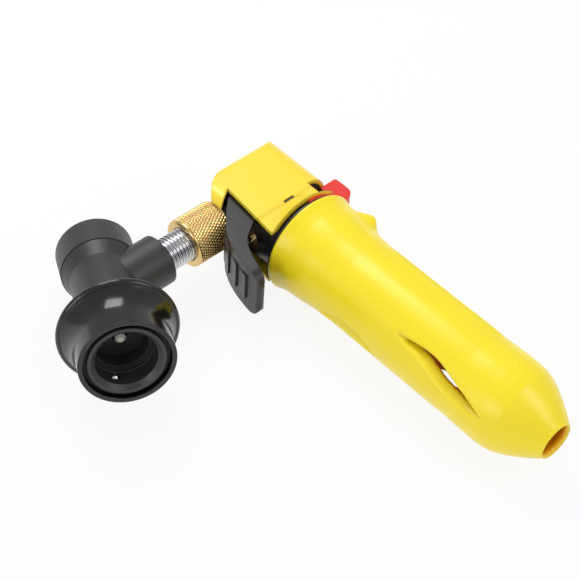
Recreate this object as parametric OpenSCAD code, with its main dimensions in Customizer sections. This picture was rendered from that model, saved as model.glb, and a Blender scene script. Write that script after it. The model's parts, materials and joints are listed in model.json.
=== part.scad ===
// Portable keg dispenser: a pistol-type gas head with a screw-on cartridge cup, joined by a knurled
// swivel nut to a ball-lock keg disconnect. X is the cup's axis and Y the outlet's axis, both through
// one point of the head. The placed part has the middle of its box over the origin and its foot at 0.

/* [Cartridge cup] */
// Length from the rim to the nose lip
cup_len = 103.2; // [98:0.1:115]
// Outer radius at the rim
cup_rim_r = 17.46; // [17.2:0.01:19]
// Outer radius of the straight grip
cup_r = 14.7; // [14.4:0.05:15.6]
// Length over which the rim draws in to the grip
cup_flare_len = 27; // [24:0.5:32]
// Wall of the grip and the nose
cup_wall = 1.8; // [1.4:0.1:2]
// Radius of the bend between grip and nose
cup_shoulder_r = 16.5; // [12:0.5:20]
// Slope of the nose against the axis, in degrees
cup_nose_angle = 32; // [28:1:38]
// Outer radius of the nose lip
cup_lip_r = 5.95; // [5.8:0.05:7]
// Radius of the nose hole
cup_hole_r = 5.25; // [4.5:0.05:5.4]
// Rounding of the rim's outer edge
cup_edge_r = 0.9; // [0.5:0.1:1.2]
// Depth of the bore that screws over the head's stub
cup_thread_len = 12; // [11.6:0.1:14]

/* [Side scoops] */
// Depth of a scoop below its own axis
scoop_r = 2.8; // [2.4:0.1:3]
// Height of a scoop's axis above the grip
scoop_rise = 0.3; // [0:0.05:0.6]
// Wall behind a scoop's ramp
scoop_wall = 1.1; // [0.9:0.1:1.3]
// Distance by which the slit passes the scoop's middle
slit_back = 0.8; // [0.4:0.1:1.2]

/* [Head cover] */
// Height of the top above the outlet's axis
cover_top = 11.6; // [11.2:0.1:13]
// Distance of the front face from the cup's axis
cover_front = 17.8; // [17.4:0.1:19]
// Distance of the back face from the cup's axis
cover_back = 17.1; // [16.6:0.1:18]
// Half of the width
cover_w = 11.2; // [11:0.05:12]
// Wall thickness
cover_wall = 1.4; // [1:0.05:1.5]
// Radius of the long bend from top to front
cover_arc_r = 21.5; // [20.5:0.1:24]
// Rounding between top and back
cover_heel_r = 6; // [4:0.2:8]
// Rounding of the two upright back edges
cover_spine_r = 7.8; // [5:0.2:9]
// Rounding of the two upright front edges
cover_cheek_r = 4; // [3:0.2:5]
// Rounding of the two edges along the top
cover_brow_r = 5; // [3:0.2:6]
// Place along the cup's axis where the skirt starts to flare
flare_x = 14.3; // [13.5:0.1:15]
// Place of the lip along the cup's axis
lip_x = 21.5; // [21:0.05:22]
// Outer radius of the lip
lip_r = 17.2; // [16.9:0.05:18]
// Slope at which the flare starts, in degrees
flare_angle = 25; // [15:1:35]
// Height of the snap windows
window_h = 1.2; // [1:0.1:1.6]
// Width of the snap windows
window_w = 4; // [3:0.1:5]

/* [Head core] */
// Radius of the neck under the cover
neck_r = 13.8; // [13.4:0.05:14]
// Outer radius of the flange that the cup butts against
flange_r = 16.2; // [15.8:0.05:16.8]
// Thickness of that flange
flange_t = 0.9; // [0.7:0.05:1.2]
// Radius of the stub that carries the cup
stub_r = 14.2; // [13.8:0.05:14.3]
// Length of the stub
stub_len = 11.2; // [9:0.1:11.4]
// Radius of the bore for the cartridge's neck
neck_bore_r = 4.8; // [4.6:0.05:5.2]
// Radius of the boss that holds the outlet nozzle
boss_r = 6.2; // [5.6:0.1:6.3]
// Reach of that boss from the cup's axis
boss_reach = 15.8; // [15:0.1:16.2]
// Half of the thickness between the trigger's cheeks
core_web = 7.1; // [6.6:0.05:7.1]
// Reach of the block inside the cover, towards the trigger
core_front = 7.4; // [7:0.05:8]
// Reach of that block towards the thumb tab
core_back = 13.5; // [13:0.05:13.6]

/* [Trigger] */
// Distance of the pivot above the outlet's axis
pivot_up = 5.5; // [5:0.1:6]
// Distance of the pivot from the cup's axis
pivot_out = 5.5; // [5:0.1:6]
// Reach of the lever's tip from the outlet's axis, along the cup
lever_reach = 31; // [28:0.1:33]
// Reach of the lever's tip from the pivot, away from the cup
lever_drop = 23; // [22.4:0.05:24.6]
// Gap between the nut and the finger plate
knee_gap = 1.2; // [0.8:0.05:1.6]
// Half of the distance over both cheeks
cheek_w = 9; // [8.8:0.05:9.1]
// Thickness of a cheek
cheek_t = 1.6; // [1.2:0.05:1.6]
// Thickness of the finger plate
plate_t = 2; // [1.6:0.1:2.4]
// Rounding of the finger plate's end corners
plate_r = 5; // [4:0.2:7]
// Radius of the boss round the pivot
pivot_r = 2.9; // [2.4:0.1:2.9]
// Radius of the pivot pin
pin_r = 1.25; // [1:0.05:1.4]
// Height of the grip ridges
ridge_h = 0.6; // [0.4:0.1:1]
// Pitch of the grip ridges
ridge_pitch = 5.6; // [5:0.1:6]
// Length of the grip ridges across the plate
ridge_w = 10; // [8:0.2:12]

/* [Safety latch] */
// Outer radius of the ring
latch_r = 15.9; // [15.4:0.05:16]
// Thickness of the ring
latch_t = 1; // [0.8:0.05:1.05]
// Height of the thumb tab along the cup's axis
tab_h = 8.9; // [8:0.1:9.2]
// Reach of the thumb tab from the cup's axis
tab_reach = 21.1; // [20:0.1:23]
// Half of the tab's width
tab_w = 6.5; // [5:0.1:6.5]
// Travel of the latch, in degrees
latch_turn = 15; // [10:1:15]

/* [Valve and piercing] */
// Distance of the valve from the outlet's axis
valve_x = 11; // [10.6:0.1:11.4]
// Radius of the valve bore
valve_r = 4.5; // [4.2:0.05:4.6]
// Radius of the valve stem
stem_r = 1.5; // [1.2:0.05:1.6]
// Reach of the stem's tip from the cup's axis
stem_reach = 15.5; // [15.1:0.05:15.5]
// Travel of the stem
stem_travel = 2.6; // [2.2:0.05:2.6]
// Radius of the stem's collar
collet_r = 3.5; // [3:0.05:3.8]
// Thickness of the stem's collar
collet_t = 1; // [0.8:0.05:1.2]
// Thickness of the valve's seal
valve_seal_t = 1.8; // [1.4:0.05:2]
// Seat of the valve, in front of the cup's axis
valve_seat = 1; // [0.8:0.05:1.2]
// Depth of the valve bore behind the cup's axis
valve_depth = 11.4; // [10.6:0.1:11.8]
// Length of the gland that closes the bore's front
gland_len = 3; // [2.4:0.1:3.4]
// Length of the valve sleeve
sleeve_len = 7; // [6:0.1:7.4]
// Radius of the hollow needle
needle_r = 1.5; // [1.2:0.05:1.6]
// Length of the needle beyond its foot
needle_len = 9.5; // [8:0.1:11]
// Radius of the needle's foot
foot_r = 4; // [3.4:0.05:4.2]
// Thickness of the needle's foot
foot_t = 2; // [1.6:0.1:2.4]
// Thickness of the flat rubber seals
washer_t = 1.5; // [1:0.1:2]

/* [Outlet and nut] */
// Radius of the nozzle's shank
shank_r = 3.2; // [2.8:0.05:3.4]
// Radius of the gas passage in the core
passage_r = 1; // [0.8:0.05:1.2]
// Radius of the gas passage in the nozzle and the stud
nozzle_passage_r = 1.5; // [1.2:0.05:1.7]
// Root of the nozzle, from the cup's axis
nozzle_root = 6.5; // [6:0.1:7]
// Start of the nut, from the cup's axis
nut_start = 16.5; // [16.3:0.05:17]
// Length of the nut
nut_len = 14.5; // [13:0.1:16]
// Outer radius of the nut over its knurl
nut_r = 8.12; // [8:0.02:8.3]
// Bevel at both ends of the nut
nut_bevel = 0.8; // [0.5:0.1:1]
// Thickness of the nut's inner shoulder
nut_shoulder = 2.4; // [2:0.1:2.8]
// Thickness of the nozzle's flange
seat_t = 3.8; // [3.4:0.1:4.2]
// Major radius of the flare thread
thread_r = 5.555; // [5.5:0.005:5.6]
// Room for the washer between nozzle and stud, along the outlet
washer_room = 0.8; // [0.6:0.05:1]

/* [Disconnect body] */
// Distance of the socket's axis from the cup's axis, along the outlet
cross_t = 61.5; // [58:0.1:64]
// Tilt of the socket against the arm's square, in degrees
socket_tilt = 27.3; // [20:0.1:30]
// Turn of the whole disconnect about the outlet's axis, in degrees
socket_roll = 14; // [0:0.5:15]
// Outer radius of the side arm
arm_r = 8.23; // [7.8:0.02:8.8]
// Start of the side arm, from the cup's axis
arm_start = 40.7; // [39:0.1:43]
// Depth of the stud's moulded-in shank
stud_grip = 10; // [8:0.1:10.5]
// Radius of that shank
stud_shank_r = 3.6; // [3.2:0.05:3.8]
// Radius of the gas passage in the arm
arm_passage_r = 1.9; // [1.6:0.05:2.2]
// Radius of the body's neck
body_r = 10.3; // [10:0.05:10.6]
// Radius of the cone's top edge
crown_r = 12; // [11.6:0.05:12.2]
// Radius of the socket skirt
skirt_r = 11.6; // [11.4:0.02:11.7]
// Radius of the socket that takes the keg post
socket_r = 9.26; // [9.2:0.01:9.32]
// Distance of the mouth from the arm's axis
mouth_s = 35; // [34:0.1:36]
// Depth of the socket's wide part
socket_len = 8.5; // [8:0.1:9]
// Radius of the narrow part that seals on the post
seal_bore_r = 8; // [7.6:0.05:8.4]
// Length of the narrow part
seal_bore_len = 5.5; // [5:0.1:6]
// Radius of the poppet chamber
chamber_r = 4.6; // [4.4:0.05:5]
// Radius of the orifice between chamber and socket
orifice_r = 2.6; // [2.4:0.05:2.8]
// Thickness of the floor round the orifice
floor_t = 2; // [1.6:0.1:2.4]
// Length over which the neck widens to the skirt
swell_len = 8.2; // [7:0.1:9]
// Lead-in bevel of the mouth
mouth_bevel = 1.33; // [1:0.01:1.6]

/* [Cap] */
// Outer radius of the screw cap
cap_r = 12.24; // [12:0.02:12.6]
// Height of the screw cap
cap_h = 11.5; // [10:0.1:13]
// Distance of the cap's edge from the arm's axis
cap_s = 11.4; // [11.3:0.05:12]
// Rounding of the cap's top edge
cap_edge_r = 1; // [0.5:0.1:2]
// Length of the cap's plug
plug_len = 7.2; // [6.8:0.1:7.6]

/* [Poppet] */
// Radius of the poppet's stem
poppet_stem_r = 1.6; // [1.4:0.05:1.7]
// Reach of the stem into the socket
poppet_reach = 3.5; // [3:0.1:4]
// Radius of the poppet's head
poppet_r = 3.6; // [3.4:0.05:3.8]
// Thickness of the poppet's head
poppet_t = 2; // [1.6:0.1:2.4]
// Travel of the poppet
poppet_travel = 2.5; // [2:0.1:2.5]

/* [Locking collar] */
// Radius of the finger flange
collar_r = 18.5; // [17.5:0.05:19]
// Thickness of the finger flange
collar_rim_t = 2.5; // [2:0.1:3]
// Outer radius at the mouth
collar_mouth_r = 14.51; // [14.4:0.01:15]
// Length of the collar
collar_len = 16.6; // [16.5:0.05:17]
// Radius of the spring pocket
pocket_r = 13.6; // [13.5:0.02:13.7]
// Travel of the collar
collar_travel = 4; // [4:0.1:4.2]
// Radius of a lock ball
ball_r = 1.6; // [1.5:0.01:1.65]
// Distance of the balls from the mouth
ball_depth = 5.3; // [5.2:0.05:5.4]
// Depth of the track that the balls stand in, in the socket's wall
ball_track = 0.25; // [0.15:0.05:0.4]
// Thickness of the retaining ring
clip_t = 0.8; // [0.6:0.05:0.9]
// Height of the retaining ring above the skirt
clip_h = 1.3; // [1:0.05:1.35]
// Depth of its groove in the skirt
clip_depth = 0.6; // [0.4:0.05:0.7]

/* [Springs] */
// Wire of the valve and poppet springs
fine_wire = 0.6; // [0.4:0.05:0.7]
// Wire of the collar spring
collar_wire = 0.7; // [0.5:0.05:0.8]

/* [Hidden] */
$fn = 96;

// Clearances
over = 1;            // overrun of every cut
fit = 0.05;          // between a turned piece and its bore
slip = 0.1;          // between pieces that slide or turn on each other
gap = 0.2;           // between moulded pieces that only face each other
free = 0.3;          // round pieces that move past others
skin = 1;            // wall left beside a bore
spring_play = 0.15;  // beside a spring in its pocket

// Head stations along the cup's axis
core_inset = cover_wall + gap;
ring_x = lip_x + gap;                      // front of the latch ring
flange_x = ring_x + latch_t + gap;         // front of the core's flange
stub_x = flange_x + flange_t;
rim_x = stub_x + gap;                      // rim of the cup
neck_x = ring_x - 2 * gap - flange_t / 2;  // start of the full round neck
needle_x = neck_x;                         // back of the needle's foot
relief_x = valve_x + valve_r + skin;       // end of the cheeks' slots

// Arc that leaves a straight wall and has risen by h after the length l
function sweep_r(l, h) = (l * l + h * h) / (2 * h);
// Points of a bend from a to c that aims at b
function bend(a, b, c, n) = [for (i = [0 : n]) let (t = i / n) (1 - t) * (1 - t) * a
    + 2 * t * (1 - t) * b + t * t * c];

// Axis frames: each turns local +Z to its axis
module along_x() rotate([0, 90, 0]) children();
module along_outlet() rotate([90, 0, 0]) children();
module along_socket() translate([0, -cross_t, 0]) rotate([0, -socket_roll, 0])
    rotate([0, 0, -socket_tilt]) rotate([0, 90, 0]) children();

// Ring, tube or disc on the local Z axis from z0 to z1
module tube(z0, z1, r_out, r_in) translate([0, 0, z0]) difference() {
    cylinder(h = z1 - z0, r = r_out);
    translate([0, 0, -over]) cylinder(h = z1 - z0 + 2 * over, r = r_in);
}
module bore(z0, z1, r) translate([0, 0, z0]) cylinder(h = z1 - z0, r = r);
module cone(z0, z1, r0, r1) translate([0, 0, z0]) cylinder(h = z1 - z0, r1 = r0, r2 = r1);
// Ring with a round section
module o_ring(z, r_mid, r_wire) translate([0, 0, z]) rotate_extrude() translate([r_mid, 0])
    circle(r_wire, $fn = 32);
// Box between two corners
module block(a, b) translate(a) cube(b - a);
// Rectangle from a to b with its own rounding at each corner, counter-clockwise from a
module rounded(a, b, r) {
    polygon([[a.x + r[0], a.y], [b.x - r[1], a.y], [b.x, a.y + r[1]], [b.x, b.y - r[2]],
        [b.x - r[2], b.y], [a.x + r[3], b.y], [a.x, b.y - r[3]], [a.x, a.y + r[0]]]);
    translate([a.x + r[0], a.y + r[0]]) circle(r[0]);
    translate([b.x - r[1], a.y + r[1]]) circle(r[1]);
    translate([b.x - r[2], b.y - r[2]]) circle(r[2]);
    translate([a.x + r[3], b.y - r[3]]) circle(r[3]);
}

// Springs
spring_sides = 6;
spring_rings = 8;
// Centre line of a compression spring from z0 to z1 on the local Z axis
function coil(z0, z1, r, wire, turns) = let (n = turns * spring_rings)
    [for (i = [0 : n]) [r * cos(360 * i / spring_rings), r * sin(360 * i / spring_rings),
        z0 + wire / 2 + slip + (z1 - z0 - wire - 2 * slip) * i / n]];
// Least gap of a spring to itself: the shortest way between points about a curl or more apart
function least_gap(line, wire) = min([for (i = [0 : len(line) - 1])
    for (j = [i + spring_rings - 1 : 1 : len(line) - 1]) norm(line[j] - line[i])]) - wire;
// Round wire swept along a coil, one unbroken tube
module wound(line, wire) {
    n = len(line);
    points = [for (i = [0 : n - 1]) let (a = 360 * i / spring_rings) for (k = [0 : spring_sides - 1])
        let (b = 360 * k / spring_sides) line[i] + wire / 2 * [cos(b) * cos(a), cos(b) * sin(a), sin(b)]];
    sides = [for (i = [0 : n - 2]) for (k = [0 : spring_sides - 1])
        let (p = i * spring_sides + k, q = i * spring_sides + (k + 1) % spring_sides)
            each [[p, p + spring_sides, q + spring_sides], [p, q + spring_sides, q]]];
    first = [for (k = [1 : spring_sides - 2]) [0, k, k + 1]];
    last = [for (k = [1 : spring_sides - 2]) (n - 1) * spring_sides * [1, 1, 1] + [0, k + 1, k]];
    polyhedron(points, concat(sides, first, last));
}

// Cup
flare_sweep = sweep_r(cup_flare_len, cup_rim_r - cup_r);
// Section of the cup's form drawn in by d: x is the radius, y runs from the rim to the nose
module cup_half(d) {
    a = cup_nose_angle;
    bend_r = cup_shoulder_r - d;
    mid = cup_r - cup_shoulder_r;
    tangent_r = mid + cup_shoulder_r * cos(a);
    start = cup_len - (tangent_r - cup_lip_r) / tan(a) - cup_shoulder_r * sin(a);
    foot = start + bend_r * sin(a);
    foot_r = mid + bend_r * cos(a);
    square([cup_r - d, start]);
    translate([0, start]) intersection() {
        translate([mid, 0]) circle(bend_r);
        square([cup_r - d, bend_r * sin(a)]);
    }
    polygon([[0, foot], [foot_r, foot], [foot_r - (cup_len - foot) * tan(a), cup_len], [0, cup_len]]);
}
// Flare of the rim, with its rounded outer edge
module cup_flare() difference() {
    square([cup_rim_r, cup_flare_len]);
    translate([cup_r + flare_sweep, cup_flare_len]) circle(flare_sweep, $fn = 360);
    translate([cup_rim_r - cup_edge_r, -over]) difference() {
        square([over + cup_edge_r, over + cup_edge_r]);
        translate([0, over + cup_edge_r]) circle(cup_edge_r);
    }
}
// Solid lens turned about its own long axis
module spindle(l, r) {
    arc = sweep_r(l / 2, r);
    rotate_extrude() intersection() {
        translate([r - arc, 0]) circle(arc, $fn = 360);
        translate([0, -l / 2]) square([r, l]);
    }
}
// Half of a thicker lens behind a scoop of length l, on the side of its ramp
module ramp(l) intersection() {
    spindle(l + 2 * scoop_wall, scoop_r + scoop_wall);
    translate([-2 * scoop_r, -2 * scoop_r - slit_back, -l])
        cube([2 * scoop_r - cup_wall / 2, 2 * scoop_r, 2 * l]);
}
// Scoops by turn, place and length along the cup, tilt of their axis, and the side of their floor
scoop_turn = [244, 283, 138, 20];
scoop_place_share = [0.66, 0.31, 0.48, 0.6];
scoop_length_share = [0.34, 0.22, 0.42, 0.32];
scoop_tilt = [11, -8, 0, 11];
ramp_scoops = [0, 2, 3];
floor_side = [1, 1, 0, 1];
module at_scoop(i) rotate([0, 0, scoop_turn[i]])
    translate([cup_r + scoop_rise, 0, cup_len * scoop_place_share[i]])
        rotate([-scoop_tilt[i], 0, 0]) children();
module cartridge_cup() color("#fdf032") placed() along_x() translate([0, 0, rim_x]) difference() {
    union() {
        // shell
        difference() {
            rotate_extrude() {
                cup_half(0);
                cup_flare();
            }
            rotate_extrude() cup_half(cup_wall);
            translate([0, 0, -over]) bore(0, over + cup_thread_len, stub_r + slip);
            cone(cup_thread_len, cup_thread_len + stub_r - cup_r + cup_wall, stub_r + slip, cup_r - cup_wall);
            bore(cup_len - cup_wall * 3, cup_len + over, cup_hole_r);
        }
        // ramps behind the scoops
        for (i = ramp_scoops) at_scoop(i) mirror([0, floor_side[i], 0])
            ramp(cup_len * scoop_length_share[i]);
    }
    for (i = [0 : len(scoop_turn) - 1]) at_scoop(i) spindle(cup_len * scoop_length_share[i], scoop_r);
}

// Head cover
horn_chord = norm([lip_x - flare_x, lip_r - cover_w]);
horn_r = horn_chord / (2 * sin(atan2(lip_r - cover_w, lip_x - flare_x) - flare_angle));
cover_arc_x = cover_arc_r - cover_top + gap;
// Head form drawn in by d and running to x1 along the cup's axis
module cover_form(d, x1) {
    w = cover_w - d;
    intersection() {
        // outline seen along Z
        translate([0, 0, -w]) linear_extrude(2 * w) {
            intersection() {
                translate([cover_arc_x, 0]) circle(cover_arc_r - d);
                translate([-cover_top + d, -cover_front + d]) square([cover_top - d + x1, cover_front - d]);
            }
            rounded([-cover_top + d, -cover_cheek_r], [x1, cover_back - d],
                [0, 0, 0, cover_heel_r - d]);
        }
        // outline seen along X
        translate([-cover_top, 0, 0]) along_x() linear_extrude(cover_top + x1)
            rounded([-w, -cover_front + d], [w, cover_back - d],
                [cover_cheek_r - d, cover_cheek_r - d, cover_spine_r - d, cover_spine_r - d]);
        // outline seen along Y
        translate([0, cover_back, 0]) along_outlet() linear_extrude(cover_back + cover_front)
            rounded([-cover_top + d, -w], [x1, w], [cover_brow_r - d, 0, 0, cover_brow_r - d]);
    }
    // flared skirt
    along_x() rotate_extrude() difference() {
        translate([0, flare_x - d]) square([lip_r, x1 - flare_x + d]);
        translate([cover_w + horn_r * cos(flare_angle), flare_x - horn_r * sin(flare_angle)])
            circle(horn_r + d, $fn = 180);
    }
}
notch_x = ring_x + latch_t - tab_h;
// Edges of the opening for the trigger, as shares of its place along the cup and of the front's reach
mouth_share = [[-0.07, 0.646], [1.07, 0.792], [1.07, 2], [0.112, 2], [0.112, 1.006]];
module head_cover() color("#ffe347") placed() difference() {
    cover_form(0, lip_x);
    cover_form(cover_wall, lip_x + over);
    // opening for the trigger
    translate([0, 0, -cup_rim_r]) linear_extrude(2 * cup_rim_r)
        polygon([for (p = mouth_share) [p.x * lip_x, -p.y * cover_front]]);
    // round cut over the nut
    along_outlet() bore(cover_front * mouth_share[0].y, cover_front + over, nut_r + 2 * gap);
    // snap windows
    for (side = [0, 1]) mirror([0, 0, side])
        block([flare_x - window_h / 2, -window_w / 2, cover_w - cover_wall - gap],
            [flare_x + window_h / 2, window_w / 2, cover_w + over]);
    // notch for the thumb tab over its travel
    block([notch_x - over, cover_back - cover_spine_r, -tab_w - 2 * free],
        [lip_x + over, cover_back + over, tab_reach * sin(latch_turn) + tab_w]);
}

// Head core
port_y = valve_seat + sleeve_len / 2;
module head_core() color("#2c2c2e") placed() difference() {
    union() {
        // block that fills the cover
        intersection() {
            cover_form(core_inset, neck_x);
            union() {
                block([-cover_top, -core_front, -cover_w], [neck_x, core_back, cover_w]);
                along_x() bore(valve_x - pivot_r, neck_x, neck_r);
            }
        }
        // round neck, flange and stub
        along_x() {
            bore(neck_x, flange_x + flange_t / 2, neck_r);
            bore(flange_x, stub_x, flange_r);
            tube(stub_x - flange_t / 2, stub_x + stub_len, stub_r, stub_r - cup_wall);
            tube(stub_x - flange_t / 2, stub_x + stub_len, neck_bore_r + cup_wall, neck_bore_r);
            // swell between neck and flange on the trigger's side
            intersection() {
                cone(neck_x, flange_x + fit, neck_r - fit, flange_r - fit);
                block([-cup_rim_r, -cup_rim_r, neck_x - over], [cup_rim_r, 0, stub_x]);
                rotate([0, 0, latch_turn])
                    block([-cup_rim_r, -cup_rim_r, neck_x - over], [cup_rim_r, 0, stub_x]);
            }
        }
        along_outlet() bore(0, boss_reach, boss_r);
        translate([-pivot_up, -pivot_out, -core_web]) cylinder(h = 2 * core_web, r = pivot_r);
        // snap hooks
        for (side = [0, 1]) mirror([0, 0, side])
            block([flare_x - window_h / 2 + gap, gap - window_w / 2, core_web],
                [flare_x + window_h / 2 - gap, window_w / 2 - gap, cover_w - gap]);
    }
    // slots for the trigger's cheeks
    for (side = [0, 1]) mirror([0, 0, side]) block([-cover_top, -cup_rim_r, core_web],
        [relief_x, -pivot_out + pivot_r + free, cover_w]);
    // pivot, nozzle and valve bores
    translate([-pivot_up, -pivot_out, -cover_w]) cylinder(h = 2 * cover_w, r = pin_r + fit);
    along_outlet() bore(nozzle_root, boss_reach + over, shank_r + fit);
    along_outlet() bore(port_y - passage_r, boss_reach, passage_r);
    translate([valve_x, 0, 0]) along_outlet() bore(-valve_depth, neck_r + over, valve_r);
    translate([0, -port_y, 0]) along_x() bore(0, valve_x, passage_r);
    // room for the thumb tab over its travel
    difference() {
        block([notch_x - 2 * free, neck_r / 2, 0], [neck_x + over, cover_back, cover_w]);
        along_x() bore(notch_x - over, neck_x + 2 * over, neck_r + free);
    }
    // seat of the needle, with the passage to the valve
    along_x() {
        bore(valve_x, needle_x + over, passage_r);
        bore(needle_x, stub_x, foot_r + fit);
        bore(needle_x + foot_t, stub_x + stub_len + over, neck_bore_r);
    }
}

// Trigger
// Front and rear edges of the lever: the first share runs from the pivot (0) past the knee beside the
// nut (1) to the tip (2), the second from the pivot (0) to the tip (1)
front_share = [[0.251, 0.23], [0.608, 0.477], [1, 0.708], [1.33, 0.944], [2, 1]];
rear_share = [[2, 0.873], [1.438, 0.751], [1.312, 0.569], [1.156, 0.33], [0.132, -0.081]];
knee_x = nut_r + knee_gap;
function lever(p) = [p.x < 1 ? p.x * (knee_x + pivot_up) - pivot_up
    : knee_x + (p.x - 1) * (lever_reach - knee_x), -pivot_out - p.y * lever_drop];
front_edge = concat([lever(front_share[0]), lever(front_share[1])],
    bend(lever(front_share[2]), lever(front_share[3]), lever(front_share[4]), 10));
rear_edge = concat(bend(lever(rear_share[0]), lever(rear_share[1]), lever(rear_share[2]), 6),
    [lever(rear_share[3]), lever(rear_share[4])]);
// Edge moved square to itself by d, towards the cup
function moved(line, d) = [for (i = [0 : len(line) - 1])
    let (a = line[max(i - 1, 0)], b = line[min(i + 1, len(line) - 1)], v = (b - a) / norm(b - a))
        line[i] + d * [-v.y, v.x]];
plate_from = 3;
plate_edge = [for (i = [plate_from : len(front_edge) - 1]) front_edge[i]];
plate_back = moved(plate_edge, plate_t);
lever_end = lever(front_share[4]);
end_r = norm(lever(rear_share[0]) - lever_end) / 2;
rib_x = plate_edge[0].x;
module trigger() color("#38383a") placed() difference() {
    union() {
        // cheeks with their pivot bosses
        for (side = [0, 1]) mirror([0, 0, side]) translate([0, 0, cheek_w - cheek_t])
            linear_extrude(cheek_t) {
                polygon(concat(front_edge, rear_edge));
                translate([-pivot_up, -pivot_out]) circle(pivot_r);
                translate((lever(rear_share[0]) + lever_end) / 2) circle(end_r);
            }
        // finger plate with its rounded end
        translate([0, 0, -cheek_w]) linear_extrude(2 * cheek_w)
            polygon(concat(plate_edge, [for (i = [1 : len(plate_back)]) plate_back[len(plate_back) - i]]));
        translate([0, 0, -cheek_w]) linear_extrude(2 * cheek_w)
            translate((lever(rear_share[0]) + lever_end) / 2) circle(end_r);
        // grip ridges, each a wedge that falls off towards the tip
        for (i = [0 : 2]) ridge(lever_end.x - plate_r - i * ridge_pitch);
        // rib that pushes the stem
        translate([0, 0, -stem_r]) linear_extrude(2 * stem_r) polygon([
            [rib_x, -stem_reach - free], [rib_x, plate_edge[0].y + plate_t / 2],
            [valve_x + stem_r + skin, plate_edge[1].y], [valve_x + stem_r + skin, -stem_reach - free]]);
    }
    translate([-pivot_up, -pivot_out, -cover_w]) cylinder(h = 2 * cover_w, r = pin_r + slip);
    // rounded end corners of the plate
    for (side = [0, 1]) mirror([0, 0, side])
        translate([lever_end.x + end_r - plate_r, -cup_rim_r, cheek_w - plate_r]) along_outlet()
            linear_extrude(lever_drop + cup_rim_r) difference() {
                square(plate_r + over);
                circle(plate_r);
            }
}
function edge_y(x, line) = lookup(x, [for (p = line) [p.x, p.y]]);
module ridge(x) translate([0, 0, -ridge_w / 2]) linear_extrude(ridge_w) polygon([
    [x - ridge_pitch, edge_y(x - ridge_pitch, plate_edge) + ridge_h],
    [x - ridge_pitch * 0.8, edge_y(x - ridge_pitch * 0.8, plate_edge) - ridge_h * 0.1],
    [x, edge_y(x, plate_edge) - ridge_h], [x, edge_y(x, plate_edge) + ridge_h]]);
module trigger_pin() color("#b9bcc0") placed()
    translate([-pivot_up, -pivot_out, -cheek_w - gap]) cylinder(h = 2 * (cheek_w + gap), r = pin_r);

// Safety latch
module safety_latch() color("#f5403a") placed() {
    along_x() difference() {
        tube(ring_x, ring_x + latch_t, latch_r, neck_r + slip);
        // the ring only runs round the back
        block([-latch_r - over, -latch_r - over, lip_x], [latch_r + over, latch_t, rim_x]);
    }
    // thumb tab
    translate([0, 0, -tab_w]) linear_extrude(2 * tab_w) {
        rounded([notch_x, neck_r + 2 * free], [ring_x + latch_t, tab_reach],
            [0, 0, (tab_reach - neck_r) / 2 - free, latch_t]);
    }
}

// Valve
gland_y = stem_reach - stem_travel - free;       // front of the gland, towards the trigger
sleeve_end = valve_seat + sleeve_len;
ring_wire = (gland_y - gland_len - sleeve_end) / 2 - fit;
module at_valve() translate([valve_x, 0, 0]) along_outlet() children();
module valve_gland() color("#c9a35a") placed() at_valve()
    tube(gland_y - gland_len, gland_y, valve_r - fit, stem_r + fit);
module valve_body() color("#c9a35a") placed() at_valve() difference() {
    tube(valve_seat, sleeve_end, valve_r - fit, stem_r + 2 * free);
    translate([0, 0, port_y]) rotate([0, -90, 0]) bore(0, valve_r + over, passage_r);
}
module stem_ring() color("#202020") placed() at_valve()
    o_ring((gland_y - gland_len + sleeve_end) / 2, stem_r + slip + ring_wire, ring_wire);
module valve_seal() color("#202020") placed() at_valve()
    tube(collet_y, valve_seat - slip, collet_r, stem_r);
collet_y = valve_seat - slip - valve_seal_t;     // front of the stem's collar
module valve_stem() color("#c4c7ca") placed() at_valve() {
    bore(collet_y, stem_reach - stem_r / 2, stem_r);
    cone(stem_reach - stem_r / 2, stem_reach, stem_r, stem_r / 2);
    bore(collet_y - collet_t, collet_y, collet_r);
    bore(collet_y - 3 * collet_t, collet_y, stem_r);
}
valve_coil = coil(-valve_depth, collet_y - collet_t, (stem_r + valve_r) / 2 - gap, fine_wire, 5);
module valve_spring() color("#b9bcc0") placed() at_valve()
    wound(valve_coil, fine_wire);

// Piercing
module pierce_needle() color("#c4c7ca") placed() along_x() difference() {
    union() {
        bore(needle_x, needle_x + foot_t, foot_r);
        bore(needle_x, needle_x + foot_t + needle_len - needle_r, needle_r);
        cone(needle_x + foot_t + needle_len - needle_r, needle_x + foot_t + needle_len,
            needle_r, needle_r / 2);
    }
    bore(needle_x - over, needle_x + foot_t + needle_len + over, needle_r / 3);
}
module cartridge_seal() color("#202020") placed() along_x()
    tube(needle_x + foot_t + fit, needle_x + foot_t + fit + washer_t, neck_bore_r - fit, needle_r + fit);

// Outlet and nut
seat_s = nut_start + nut_shoulder + free;      // back of the nozzle's flange
cone_in = thread_r - skin;                     // mouth radius of the flare seat
nose_r = cone_in - gap;                        // widest radius of the stud's nose
nut_end = nut_start + nut_len;
nose_s = seat_s + seat_t - cone_in + washer_room;     // tip of the stud's cone, if it ran to a point
module outlet_nozzle() color("#c9a35a") placed() along_outlet() difference() {
    union() {
        bore(nozzle_root, seat_s + seat_t / 2, shank_r);
        bore(seat_s, seat_s + seat_t, thread_r - gap);
    }
    bore(nozzle_root - over, seat_s + seat_t + over, nozzle_passage_r);
    cone(seat_s + seat_t - cone_in + passage_r, seat_s + seat_t + fit, passage_r, cone_in + fit);
}
module flare_washer() color("#f2efe6") placed() along_outlet() difference() {
    cone(seat_s + seat_t - cone_in + 2 * passage_r, seat_s + seat_t, 2 * passage_r - fit, cone_in - fit);
    cone(seat_s + seat_t - cone_in + passage_r, seat_s + seat_t + over,
        passage_r - washer_room + fit, cone_in - washer_room + over + fit);
}
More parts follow.
